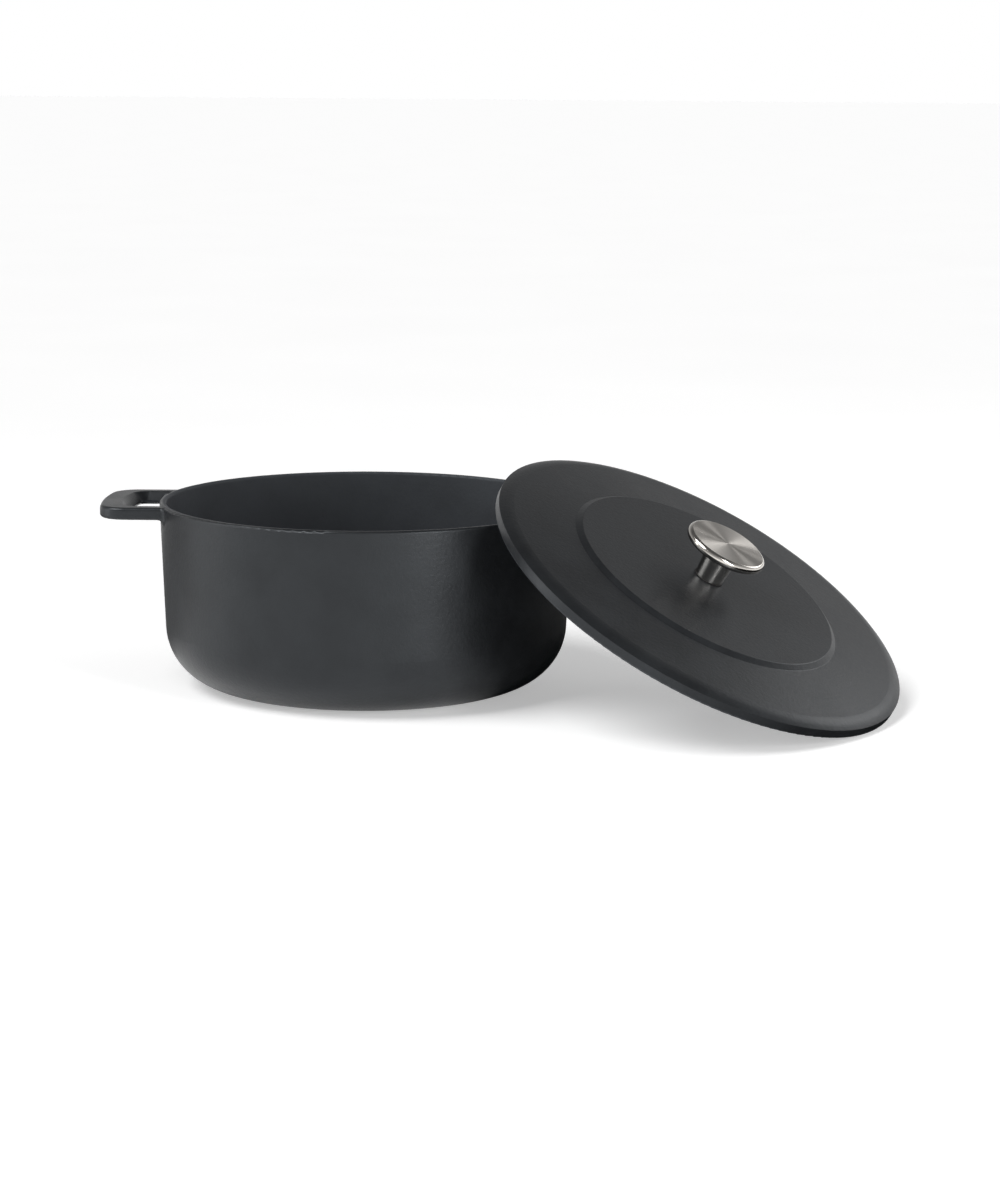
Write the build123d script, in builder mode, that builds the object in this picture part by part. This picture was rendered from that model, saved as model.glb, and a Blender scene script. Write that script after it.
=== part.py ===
from build123d import *
import math
import os

# Cast iron dutch oven: a round pot with two loop handles, and its lid leaning against it.
# Units are millimetres. The origin is the centre of the pot's base on the table, +Z is up
# and +X points along the handles, towards the lid.

os.makedirs("parts", exist_ok=True)

# Pot
rim_radius = 140.0
pot_height = 124.8
wall_draft = 2.3          # degrees, the wall narrows downwards
wall_thickness = 4.6
base_thickness = 5.2
corner_radius = 41.0      # outside, between the base and the wall
rim_round = 1.7

# Loop handles, cast in one with the pot
handle_drop = 0.6         # top face below the rim
handle_thickness = 8.3
handle_reach = 179.3      # from the pot's axis to the middle of the grip
handle_root_half = 44.8
handle_tip_half = 44.2
handle_bow = 4.5          # how far the middle of the grip stands out past its ends
handle_corner = 18.0
grip_width = 14.5         # at the top face
hole_half = 34.5          # at the top face
hole_corner = 10.0
hole_draft = 42.0         # degrees, the hole narrows downwards
hole_round = 1.6
handle_round = 2.4
handle_blend = 5.0        # fillet between the handles and the wall
handle_embed = 2.5        # how far inside the outer wall the handles' ends lie

# Lid, measured from the plane of the brim's underside
lid_radius = 147.0
brim_height = 6.6         # to the corner between the brim and the shoulder
brim_round = 1.5
brim_top_round = 2.2
shoulder_radius = 137.6
shoulder_height = 9.8
plateau_radius = 91.4
plateau_height = 15.9
step_radius = 95.2
step_height = 13.4
step_round = 1.2
crown = 0.6               # rise of the plateau towards its centre
lid_thickness = 3.6
lip_clearance = 0.9       # between the locating lip and the pot's mouth
lip_width = 3.2
lip_depth = 1.8
lip_round = 0.6
seat_radius = 14.0        # flat spot under the knob and under the washers
screw_hole_radius = 3.3
step_inset = 3.0          # the underside's step starts inside the one on top

# Where the lid lies: its low edge on the table, its underside on the far handle
lid_x = 220.0
lid_y = -80.2
lid_heading = -31.5       # degrees from +X, the way the lid slopes down
lid_tilt = 30.2           # degrees from level

# Knob
gasket_thickness = 0.8
gasket_radius = 10.2
stem_foot_radius = 9.6
stem_top_radius = 11.2
stem_bore_radius = 7.0
stem_floor = 2.0          # of the stem, under the bore
cap_underside = 37.3      # above the brim's plane
cap_thickness = 6.6
cap_radius = 27.6
cap_face_radius = 25.4
cap_rim_height = 3.4      # of the widest part of the rolled edge, above the underside
cap_dish = 0.4            # how far the underside rises from the stem to the rolled edge
cap_land_radius = 12.2    # flat ring that sits on the stem
boss_radius = 6.6
boss_length = 12.0
tap_radius = 3.05
tap_depth = 14.0

# Fasteners, M6
screw_radius = 3.0
screw_length = 26.0
head_radius = 6.0
head_height = 3.6
head_round = 1.6
slot_width = 1.6
slot_depth = 1.8
washer_bore = 3.2
washer_radius = 6.2
washer_thickness = 1.6
lock_washer_radius = 5.4
lock_washer_thickness = 1.6
lock_washer_gap = 1.2
lock_washer_skew = 20.0   # degrees, of the cut

taper = math.tan(math.radians(wall_draft))
foot_radius = rim_radius - pot_height * taper
mouth_radius = rim_radius - wall_thickness
cavity_foot_radius = mouth_radius - (pot_height - base_thickness) * taper
cavity_corner = corner_radius - wall_thickness

tilt = math.radians(lid_tilt)
heading = math.radians(lid_heading)
lid_rise = (lid_radius - brim_round) * math.sin(tilt) + brim_round * (1 - math.cos(tilt))
lid_normal = (
    math.sin(tilt) * math.cos(heading),
    math.sin(tilt) * math.sin(heading),
    math.cos(tilt),
)
lid_downhill = (
    math.cos(tilt) * math.cos(heading),
    math.cos(tilt) * math.sin(heading),
    -math.sin(tilt),
)
lid_plane = Plane(origin=(lid_x, lid_y, lid_rise), x_dir=lid_downhill, z_dir=lid_normal)
lid_section = Plane(origin=lid_plane.origin, x_dir=lid_plane.x_dir, z_dir=-lid_plane.y_dir)
lid_axis = Axis(lid_plane.origin, lid_plane.z_dir)

seat_height = plateau_height + crown
underside_height = seat_height - lid_thickness


def distance_from_axis(edge):
    return math.hypot(edge.center().X, edge.center().Y)


def wall_radius(height):
    return rim_radius - (pot_height - height) * taper


# One loop handle, whose ends reach into the middle of the wall so that it joins the casting
root_radius = rim_radius - handle_embed
root_x = math.sqrt(root_radius**2 - handle_root_half**2)
tip_x = handle_reach - handle_bow
hole_tip_x = tip_x - grip_width
hole_start_x = root_x - handle_thickness     # clear of the handle's ends even where the hole narrows
handle_top = Plane.XY.offset(pot_height - handle_drop)
with BuildPart() as loop_handle:
    with BuildSketch(handle_top):
        with BuildLine():
            Line((root_x, -handle_root_half), (tip_x, -handle_tip_half))
            ThreePointArc((tip_x, -handle_tip_half), (handle_reach, 0), (tip_x, handle_tip_half))
            Line((tip_x, handle_tip_half), (root_x, handle_root_half))
            ThreePointArc((root_x, handle_root_half), (root_radius, 0), (root_x, -handle_root_half))
        make_face()
        fillet(vertices().group_by(Axis.X)[-1], handle_corner)
    extrude(amount=-handle_thickness)
    outline_edges = edges().group_by(Axis.Z)[-1] + edges().group_by(Axis.Z)[0]
    fillet(
        outline_edges.filter_by(lambda edge: distance_from_axis(edge) > rim_radius),
        handle_round,
    )
    outside_edges = edges()
    with BuildSketch(handle_top):
        with BuildLine():
            Polyline((hole_tip_x, hole_half), (hole_start_x, hole_half),
                     (hole_start_x, -hole_half), (hole_tip_x, -hole_half))
            ThreePointArc((hole_tip_x, -hole_half), (handle_reach - grip_width, 0), (hole_tip_x, hole_half))
        make_face()
        fillet(vertices().group_by(Axis.X)[-1], hole_corner)
    extrude(amount=-handle_thickness, taper=hole_draft, mode=Mode.SUBTRACT)
    hole_edges = edges() - outside_edges
    hole_rims = hole_edges.group_by(Axis.Z)[-1] + hole_edges.group_by(Axis.Z)[0]
    fillet(
        hole_rims.filter_by(lambda edge: distance_from_axis(edge) > rim_radius),
        hole_round,
    )

with BuildPart() as pot:
    with BuildSketch(Plane.XZ):
        with BuildLine():
            Polyline((0, 0), (foot_radius, 0), (rim_radius, pot_height), (mouth_radius, pot_height),
                     (cavity_foot_radius, base_thickness), (0, base_thickness), close=True)
        make_face()
        fillet(vertices().group_by(Axis.Y)[-1], rim_round)
        fillet(vertices().group_by(Axis.Y)[0].sort_by(Axis.X)[-1], corner_radius)
        fillet(vertices().filter_by_position(Axis.Y, base_thickness - 0.1, base_thickness + 0.1)
               .sort_by(Axis.X)[-1], cavity_corner)
    revolve(axis=Axis.Z)
    turned_edges = edges()
    add(loop_handle.part)
    mirror(loop_handle.part, about=Plane.YZ)
    under_edges = (edges() - turned_edges).filter_by_position(Axis.Z, 0, pot_height - handle_drop - 1)
    root_edges = under_edges.filter_by(
        lambda edge: abs(distance_from_axis(edge) - wall_radius(edge.center().Z)) < handle_blend / 4
    )
    fillet(root_edges, handle_blend)
pot.part.label = "pot"
export_step(pot.part, "parts/pot.step")

# The lid casting is one turned outline: crowned plateau, bevelled step, slope, rounded
# shoulder and brim on top; flat brim, locating lip and an even thickness underneath
lip_outer = mouth_radius - lip_clearance
lip_inner = lip_outer - lip_width
slope = (step_height - shoulder_height) / (shoulder_radius - step_radius)
lip_top = shoulder_height + slope * (shoulder_radius - lip_inner) - lid_thickness
with BuildPart() as lid:
    with BuildSketch(lid_section):
        with BuildLine():
            Polyline((screw_hole_radius, seat_height), (seat_radius, seat_height),
                     (plateau_radius, plateau_height), (step_radius, step_height),
                     (shoulder_radius, shoulder_height))
            TangentArc((shoulder_radius, shoulder_height), (lid_radius, brim_height), tangent=(1, -slope))
            Polyline((lid_radius, brim_height), (lid_radius, 0), (lip_outer, 0),
                     (lip_outer, -lip_depth), (lip_inner, -lip_depth), (lip_inner, lip_top),
                     (step_radius, step_height - lid_thickness),
                     (plateau_radius - step_inset, plateau_height - lid_thickness),
                     (seat_radius, underside_height), (screw_hole_radius, underside_height),
                     (screw_hole_radius, seat_height))
        make_face()
        brim_corners = vertices().group_by(Axis.X)[-1].sort_by(Axis.Y)
        fillet(brim_corners[0], brim_round)
        fillet(brim_corners[-1], brim_top_round)
        fillet(vertices().group_by(Axis.Y)[0], lip_round)
        step_corners = vertices().filter_by_position(Axis.X, plateau_radius - 0.1, step_radius + 0.1)
        fillet(step_corners.filter_by_position(Axis.Y, step_height - 0.1, plateau_height + 0.1), step_round)
    revolve(axis=lid_axis)
lid.part.label = "lid"
export_step(lid.part, "parts/lid.step")

# Knob and its fasteners, all on the lid's axis
stem_foot = seat_height + gasket_thickness
with BuildPart() as knob_gasket:
    with BuildSketch(lid_plane.offset(seat_height)):
        Circle(gasket_radius)
        Circle(screw_hole_radius, mode=Mode.SUBTRACT)
    extrude(amount=gasket_thickness)
knob_gasket.part.label = "knob_gasket"
export_step(knob_gasket.part, "parts/knob_gasket.step")

with BuildPart() as knob_stem:
    with BuildSketch(lid_section):
        with BuildLine():
            Polyline((screw_hole_radius, stem_foot), (stem_foot_radius, stem_foot),
                     (stem_top_radius, cap_underside), (stem_bore_radius, cap_underside),
                     (stem_bore_radius, stem_foot + stem_floor),
                     (screw_hole_radius, stem_foot + stem_floor), close=True)
        make_face()
    revolve(axis=lid_axis)
knob_stem.part.label = "knob_stem"
export_step(knob_stem.part, "parts/knob_stem.step")

cap_top = cap_underside + cap_thickness
with BuildPart() as knob_cap:
    with BuildSketch(lid_section):
        with BuildLine():
            Line((0, cap_top), (cap_face_radius, cap_top))
            ThreePointArc((cap_face_radius, cap_top), (cap_radius, cap_underside + cap_rim_height),
                          (cap_face_radius, cap_underside + cap_dish))
            Polyline((cap_face_radius, cap_underside + cap_dish), (cap_land_radius, cap_underside),
                     (boss_radius, cap_underside), (boss_radius, cap_underside - boss_length),
                     (0, cap_underside - boss_length), (0, cap_top))
        make_face()
    revolve(axis=lid_axis)
    with BuildSketch(lid_plane.offset(cap_underside - boss_length)):
        Circle(tap_radius)
    extrude(amount=tap_depth, mode=Mode.SUBTRACT)
knob_cap.part.label = "knob_cap"
export_step(knob_cap.part, "parts/knob_cap.step")

lock_top = underside_height - washer_thickness
head_top = lock_top - lock_washer_thickness
with BuildPart() as screw_washer:
    with BuildSketch(lid_plane.offset(lock_top)):
        Circle(washer_radius)
        Circle(washer_bore, mode=Mode.SUBTRACT)
    extrude(amount=washer_thickness)
screw_washer.part.label = "screw_washer"
export_step(screw_washer.part, "parts/screw_washer.step")

with BuildPart() as spring_washer:
    with BuildSketch(lid_plane.offset(head_top)):
        Circle(lock_washer_radius)
        Circle(washer_bore, mode=Mode.SUBTRACT)
        with Locations((0, (washer_bore + lock_washer_radius) / 2)):
            Rectangle(lock_washer_gap, lock_washer_radius, rotation=lock_washer_skew, mode=Mode.SUBTRACT)
    extrude(amount=lock_washer_thickness)
spring_washer.part.label = "spring_washer"
export_step(spring_washer.part, "parts/spring_washer.step")

with BuildPart() as knob_screw:
    with BuildSketch(lid_plane.offset(head_top)):
        Circle(head_radius)
    extrude(amount=-head_height)
    fillet(edges().group_by(lid_axis)[0], head_round)
    with BuildSketch(lid_plane.offset(head_top)):
        Circle(screw_radius)
    extrude(amount=screw_length)
    with BuildSketch(lid_plane.offset(head_top - head_height)):
        Rectangle(2 * head_radius, slot_width)
    extrude(amount=slot_depth, mode=Mode.SUBTRACT)
knob_screw.part.label = "knob_screw"
export_step(knob_screw.part, "parts/knob_screw.step")
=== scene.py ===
import math

import bpy
from mathutils import Matrix, Vector


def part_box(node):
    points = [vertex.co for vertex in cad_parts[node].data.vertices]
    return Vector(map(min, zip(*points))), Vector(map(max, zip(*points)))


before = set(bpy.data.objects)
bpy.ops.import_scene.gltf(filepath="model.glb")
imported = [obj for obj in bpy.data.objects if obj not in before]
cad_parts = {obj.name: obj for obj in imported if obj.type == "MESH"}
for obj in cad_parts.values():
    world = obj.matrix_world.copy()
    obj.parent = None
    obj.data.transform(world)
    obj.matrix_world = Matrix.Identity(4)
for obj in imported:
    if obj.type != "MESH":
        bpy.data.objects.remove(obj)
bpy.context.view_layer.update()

scene = bpy.context.scene
scene.view_settings.view_transform = "Standard"

# ---------------------------------------------------------------- places read from the frame
pot_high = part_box("pot")[1]
gasket_low, gasket_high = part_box("knob_gasket")
knob_foot = (gasket_low + gasket_high) / 2

# The handles lie along X, so the pot's extent in Y is its rim's radius
WALL_THICKNESS = 0.0046
WALL_DRAFT = math.radians(2.3)
WALL_MIDDLE = pot_high.y - WALL_THICKNESS / 2


def lid_axis_direction():
    """The lid's axis: the gasket is a thin ring, so its upper face's normal lies along it."""
    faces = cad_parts["knob_gasket"].data.polygons
    upward = [f for f in faces if f.normal.z > 0.5]
    largest = max(upward, key=lambda f: f.area)
    return largest.normal.copy()


lid_axis = lid_axis_direction()


def flat_top(node):
    """Radius and height of a turned node's flat upper end, along the lid's axis from knob_foot."""
    points = []
    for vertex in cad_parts[node].data.vertices:
        arm = vertex.co - knob_foot
        height = arm.dot(lid_axis)
        points.append((height, (arm - height * lid_axis).length))
    top = max(points)[0]
    tolerance = 0.00002
    return max(radius for height, radius in points if abs(height - top) < tolerance), top


# ---------------------------------------------------------------- small node helpers
class Graph:
    """A material's node tree, with short calls for the nodes used here."""

    def __init__(self, name):
        self.material = bpy.data.materials.new(name)
        self.material.use_nodes = True
        self.tree = self.material.node_tree
        self.shader = self.tree.nodes["Principled BSDF"]
        self.place = self.add("ShaderNodeTexCoord").outputs["Object"]

    def add(self, kind, **settings):
        node = self.tree.nodes.new(kind)
        for key, value in settings.items():
            setattr(node, key, value)
        return node

    def link(self, source, target):
        self.tree.links.new(source, target)

    def put(self, value, socket):
        """Link another node's output to the socket, or set the socket to a plain value."""
        if isinstance(value, bpy.types.NodeSocket):
            self.link(value, socket)
        else:
            socket.default_value = value

    def math(self, operation, a, b=0.0):
        node = self.add("ShaderNodeMath", operation=operation)
        self.put(a, node.inputs[0])
        self.put(b, node.inputs[1])
        return node.outputs[0]

    def vector(self, operation, a, b=(0.0, 0.0, 0.0), result="Vector"):
        node = self.add("ShaderNodeVectorMath", operation=operation)
        self.put(a, node.inputs[0])
        self.put(b, node.inputs[1])
        return node.outputs[result]

    def length(self, vector):
        return self.vector("LENGTH", vector, result="Value")

    def dot(self, a, b):
        return self.vector("DOT_PRODUCT", a, b, result="Value")

    def scaled(self, vector, factor):
        result = self.vector("SCALE", vector)
        self.put(factor, result.node.inputs["Scale"])
        return result

    def split(self, vector):
        """The vector's outputs, named X, Y and Z."""
        node = self.add("ShaderNodeSeparateXYZ")
        self.link(vector, node.inputs[0])
        return node.outputs

    def noise(self, place, scale, detail=2.0, roughness=0.5):
        node = self.add("ShaderNodeTexNoise")
        self.put(place, node.inputs["Vector"])
        node.inputs["Scale"].default_value = scale
        node.inputs["Detail"].default_value = detail
        node.inputs["Roughness"].default_value = roughness
        return node.outputs["Fac"]

    def remap(self, value, low, high, new_low, new_high):
        node = self.add("ShaderNodeMapRange")
        for socket, v in zip(node.inputs, (value, low, high, new_low, new_high)):
            self.put(v, socket)
        return node.outputs[0]

    def ramp(self, value, low, high, colours):
        """The first colour up to low, the second from high."""
        node = self.add("ShaderNodeValToRGB")
        self.link(value, node.inputs[0])
        for stop, position, colour in zip(node.color_ramp.elements, (low, high), colours):
            stop.position = position
            stop.color = (*colour, 1.0)
        return node.outputs["Color"]

    def mix(self, factor, a, b):
        """Mix colours: a Mix node takes them on sockets 6 and 7, and gives one on socket 2."""
        node = self.add("ShaderNodeMix", data_type="RGBA")
        self.link(factor, node.inputs["Factor"])
        self.link(a, node.inputs[6])
        self.link(b, node.inputs[7])
        return node.outputs[2]

    def facing(self, direction):
        """How far the surface looks along a direction, from -1 to 1."""
        return self.dot(self.add("ShaderNodeNewGeometry").outputs["Normal"], tuple(direction))

    def bump(self, layers):
        """layers: (height, distance in metres, strength), each laid on the one before."""
        normal = None
        for height, distance, strength in layers:
            node = self.add("ShaderNodeBump")
            node.inputs["Distance"].default_value = distance
            node.inputs["Strength"].default_value = strength
            self.link(height, node.inputs["Height"])
            if normal is not None:
                self.link(normal, node.inputs["Normal"])
            normal = node.outputs["Normal"]
        self.link(normal, self.shader.inputs["Normal"])

    def set(self, **values):
        """Put values on the shader's sockets, whose names have _ for a space here."""
        for name, value in values.items():
            self.put(value, self.shader.inputs[name.replace("_", " ")])


def dress(node, material):
    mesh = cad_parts[node].data
    mesh.materials.clear()
    mesh.materials.append(material)


# ---------------------------------------------------------------- materials
# Each pair of colours is the dark and the light end of a material's mottling
SATIN_BLACK = ((0.0098, 0.0106, 0.0118), (0.014, 0.0152, 0.0168))
MATTE_GREY = ((0.036, 0.039, 0.044), (0.044, 0.048, 0.054))
RUBBER_BLACK = ((0.008, 0.008, 0.008), (0.016, 0.016, 0.016))
FLOOR_WHITE = ((0.79, 0.79, 0.79), (0.81, 0.81, 0.81))


def inside_pot(g):
    """1 on the cooking surface: faces that look upwards within the middle of the pot's wall."""
    blend = 0.0004
    radius = g.length(g.vector("MULTIPLY", g.place, (1.0, 1.0, 0.0)))
    depth = g.math("SUBTRACT", pot_high.z, g.split(g.place)["Z"])
    taper = g.math("MULTIPLY", depth, math.tan(WALL_DRAFT))
    wall = g.math("SUBTRACT", WALL_MIDDLE, taper)
    within = g.remap(g.math("SUBTRACT", wall, radius), -blend, blend, 0.0, 1.0)
    upwards = g.remap(g.facing((0.0, 0.0, 1.0)), -0.01, 0.01, 0.0, 1.0)
    return g.math("MULTIPLY", within, upwards)


def under_lid(g):
    """1 on the lid's underside."""
    return g.remap(g.facing(lid_axis), -0.4, -0.2, 1.0, 0.0)


def enamel(name, matte_part):
    """Satin black enamel over cast iron, with soft orange peel, fine grain and some mottling.

    matte_part gives where it is the matte grey-black enamel of a cooking surface instead.
    """
    g = Graph(name)
    matte = matte_part(g)
    mottle = g.noise(g.place, scale=35.0, detail=3.0)
    peel = g.noise(g.place, scale=420.0)
    grain = g.noise(g.place, scale=2600.0, detail=1.0)
    satin_colour = g.ramp(mottle, 0.35, 0.65, SATIN_BLACK)
    matte_colour = g.ramp(mottle, 0.35, 0.65, MATTE_GREY)
    unevenness = g.math("ADD", mottle, g.math("MULTIPLY", peel, 0.5))
    satin_rough = g.remap(unevenness, 0.5, 1.0, 0.32, 0.4)
    rougher_when_matte = g.math("MULTIPLY", matte, 0.25)
    g.set(
        Base_Color=g.mix(matte, satin_colour, matte_colour),
        Roughness=g.math("ADD", satin_rough, rougher_when_matte),
        IOR=1.46,
        Specular_Tint=(0.9, 0.95, 1.0, 1.0),
    )
    g.bump([(peel, 0.0004, 0.25), (grain, 0.00008, 0.4)])
    return g.material


def turned_steel(name, colour, rough, anisotropy, ring_scale, polished=None):
    """Steel turned about the lid's axis: fine rings, and reflections drawn out along them.

    ring_scale is how finely the rings lie, in noise cells per metre. polished is (radius,
    height, roughness): past that radius, or below that height along the axis, the surface is
    polished instead.
    """
    g = Graph(name)
    axis = tuple(lid_axis)
    arm = g.vector("SUBTRACT", g.place, tuple(knob_foot))
    along = g.dot(arm, axis)
    radial = g.vector("SUBTRACT", arm, g.scaled(axis, along))
    radius = g.length(radial)
    tangent = g.vector("NORMALIZE", g.vector("CROSS_PRODUCT", axis, radial))

    # Noise read by radius and height gives rings. The slow part varies them around the axis
    by_ring = g.add("ShaderNodeCombineXYZ")
    g.link(g.math("MULTIPLY", radius, ring_scale), by_ring.inputs["X"])
    g.link(g.math("MULTIPLY", along, ring_scale), by_ring.inputs["Y"])
    slow = g.scaled(radial, 12.0)
    place = g.vector("ADD", by_ring.outputs[0], slow)
    rings = g.noise(place, scale=1.0, detail=3.0, roughness=0.6)

    roughness = g.remap(rings, 0.25, 0.75, rough * 0.8, rough * 1.2)
    relief = rings
    if polished:
        face_radius, face_height, polished_rough = polished
        blend = 0.0003
        inside = g.remap(radius, face_radius - blend, face_radius + blend, 1.0, 0.0)
        above = g.remap(along, face_height - 2 * blend, face_height - blend, 0.0, 1.0)
        brushed = g.math("MULTIPLY", inside, above)
        roughness = g.remap(brushed, 0.0, 1.0, polished_rough, roughness)
        relief = g.math("MULTIPLY", rings, brushed)

    groove_colour = tuple(c * 0.86 for c in colour)
    g.set(
        Base_Color=g.ramp(rings, 0.3, 0.7, (groove_colour, colour)),
        Metallic=1.0,
        Roughness=roughness,
        Anisotropic=anisotropy,
        Tangent=tangent,
    )
    g.bump([(relief, 0.00002, 0.25)])
    return g.material


def rubber(name):
    g = Graph(name)
    mottle = g.noise(g.place, scale=900.0)
    g.set(
        Base_Color=g.ramp(mottle, 0.3, 0.7, RUBBER_BLACK),
        Roughness=g.remap(mottle, 0.3, 0.7, 0.55, 0.7),
    )
    g.bump([(mottle, 0.00005, 0.3)])
    return g.material


dress("pot", enamel("enamel_pot", inside_pot))
dress("lid", enamel("enamel_lid", under_lid))

cap_radius, cap_height = flat_top("knob_cap")
knob_steel = turned_steel("knob_steel", (0.74, 0.705, 0.66), rough=0.32, anisotropy=0.92,
                          ring_scale=9000.0, polished=(cap_radius, cap_height, 0.1))
stem_steel = turned_steel("stem_steel", (0.62, 0.6, 0.57), rough=0.12, anisotropy=0.3,
                          ring_scale=6000.0)
fastener_steel = turned_steel("fastener_steel", (0.5, 0.5, 0.49), rough=0.3, anisotropy=0.4,
                              ring_scale=5000.0)
dress("knob_cap", knob_steel)
dress("knob_stem", stem_steel)
dress("knob_gasket", rubber("silicone_black"))
for fastener in ("knob_screw", "screw_washer", "spring_washer"):
    dress(fastener, fastener_steel)


# ---------------------------------------------------------------- floor, light and camera
# Azimuths are in degrees from the front (-Y) towards the right (+X)
def pale_floor():
    """A white floor. It glows a little, as one lit from below does, so shadows stay faint."""
    reach = 60.0
    mesh = bpy.data.meshes.new("floor")
    corners = [(-reach, -reach, 0), (reach, -reach, 0), (reach, reach, 0), (-reach, reach, 0)]
    mesh.from_pydata(corners, [], [(0, 1, 2, 3)])
    floor = bpy.data.objects.new("floor", mesh)
    scene.collection.objects.link(floor)
    g = Graph("pale_floor")
    g.set(
        Base_Color=g.ramp(g.noise(g.place, scale=3.0), 0.3, 0.7, FLOOR_WHITE),
        Roughness=0.9,
        Specular_IOR_Level=0.0,
        Emission_Color=(1.0, 1.0, 1.0, 1.0),
        Emission_Strength=0.38,
    )
    mesh.materials.append(g.material)


def white_surround(levels):
    """World light by height, from (height, level) pairs.

    It is white at the horizon, so that the floor's far edge isn't seen, and dimmer above.
    """
    world = bpy.data.worlds.new("studio")
    scene.world = world
    world.use_nodes = True
    tree = world.node_tree
    direction = tree.nodes.new("ShaderNodeTexCoord").outputs["Generated"]
    split = tree.nodes.new("ShaderNodeSeparateXYZ")
    tree.links.new(direction, split.inputs[0])
    ramp = tree.nodes.new("ShaderNodeValToRGB")
    tree.links.new(split.outputs["Z"], ramp.inputs[0])
    stops = ramp.color_ramp.elements
    while len(stops) < len(levels):
        stops.new(0.5)  # halfway for now: each stop gets its own height below
    for stop, (height, level) in zip(stops, levels):
        stop.position = height
        stop.color = (level, level, level, 1.0)
    tree.links.new(ramp.outputs["Color"], tree.nodes["Background"].inputs["Color"])


def hang(light, azimuth, elevation, target=(0.0, 0.0, 0.0), distance=0.0):
    """Put a light in the scene, at a distance from the target and shining towards it."""
    lamp = bpy.data.objects.new(light.name, light)
    scene.collection.objects.link(lamp)
    turn, lift = math.radians(azimuth), math.radians(elevation)
    away = Vector((math.sin(turn) * math.cos(lift), -math.cos(turn) * math.cos(lift),
                   math.sin(lift)))
    lamp.location = Vector(target) + distance * away
    lamp.rotation_euler = away.to_track_quat("Z", "Y").to_euler()


def sky_light(azimuth, elevation, spread, irradiance):
    """Broad light from one side of the sky. It is a sun, so its distance doesn't matter."""
    light = bpy.data.lights.new("sky_light", "SUN")
    light.energy = irradiance
    light.angle = math.radians(spread)
    hang(light, azimuth, elevation)


def soft_light(name, target, azimuth, elevation, distance, width, height, radiance):
    """A softbox facing the target. Its radiance is how bright a reflection of it shows."""
    light = bpy.data.lights.new(name, "AREA")
    light.shape = "RECTANGLE"
    light.size, light.size_y = width, height
    light.energy = radiance * width * height * math.pi
    hang(light, azimuth, elevation, target, distance)


def shade_card(name, corners, clear_azimuth, black_azimuth, strength):
    """Painted shade: a black card on the floor that only reflections see, fading in around the
    pot's axis.
    """
    above_floor = 0.0005
    mesh = bpy.data.meshes.new(name)
    mesh.from_pydata([(x, y, above_floor) for x, y in corners], [], [range(len(corners))])
    card = bpy.data.objects.new(name, mesh)
    scene.collection.objects.link(card)
    card.visible_camera = card.visible_diffuse = card.visible_shadow = False
    g = Graph(name)
    place = g.split(g.place)
    azimuth = g.math("ARCTAN2", place["X"], g.math("MULTIPLY", place["Y"], -1.0))
    clear, black = math.radians(clear_azimuth), math.radians(black_azimuth)
    g.set(
        Base_Color=(0.01, 0.01, 0.01, 1.0),
        Roughness=1.0,
        Specular_IOR_Level=0.0,
        Alpha=g.remap(azimuth, clear, black, 0.0, strength),
    )
    mesh.materials.append(g.material)


def studio():
    """Strips at the sides brighten the pot's wall; the painted-shade cards darken the wall beyond
    them.
    """
    white_surround([(0.06, 1.0), (0.18, 0.52), (0.38, 0.43), (0.75, 0.1)])
    sky_light(azimuth=-65, elevation=54, spread=34, irradiance=2.0)
    pot_middle = (0.0, 0.0, 0.06)
    soft_light("strip_left", pot_middle, azimuth=-82, elevation=8, distance=1.2,
               width=0.2, height=1.0, radiance=3.8)
    soft_light("strip_right", pot_middle, azimuth=36, elevation=8, distance=1.2,
               width=0.12, height=1.0, radiance=16.0)
    soft_light("box_back_right", knob_foot, azimuth=122, elevation=26, distance=1.5,
               width=0.75, height=0.55, radiance=2.3)
    # Painted shade under the lid, seen only in reflections: it keeps the pot's right side dark
    right_corners = [(0.04, -0.09), (0.3, -0.6), (0.8, -0.4), (0.6, 0.5), (0.12, 0.3)]
    shade_card("painted_shade_right", right_corners, clear_azimuth=30, black_azimuth=54, strength=1.0)
    # Painted shade at the back left, seen only in reflections: it darkens the pot's left edge
    left_corners = [(-0.15, 0.0), (-0.15, 0.3), (-0.7, 0.9), (-0.9, 0.0)]
    shade_card("painted_shade_left", left_corners, clear_azimuth=-86, black_azimuth=-112, strength=0.85)


def camera():
    """The photograph's viewing angle: from the front, looking down a little."""
    place = (0.0931, -1.8986, 0.4061)
    pitch, roll = math.radians(9.54), math.radians(0.457)
    data = bpy.data.cameras.new("camera")
    data.sensor_width = 36.0
    data.lens = 85.4
    data.shift_x = -0.0028
    data.shift_y = -0.0335
    data.clip_start, data.clip_end = 0.05, 100.0
    view = bpy.data.objects.new("camera", data)
    scene.collection.objects.link(view)
    turn = Matrix.Rotation(math.pi / 2 - pitch, 4, "X") @ Matrix.Rotation(roll, 4, "Z")
    view.matrix_world = Matrix.Translation(place) @ turn
    scene.camera = view


pale_floor()
studio()
camera()
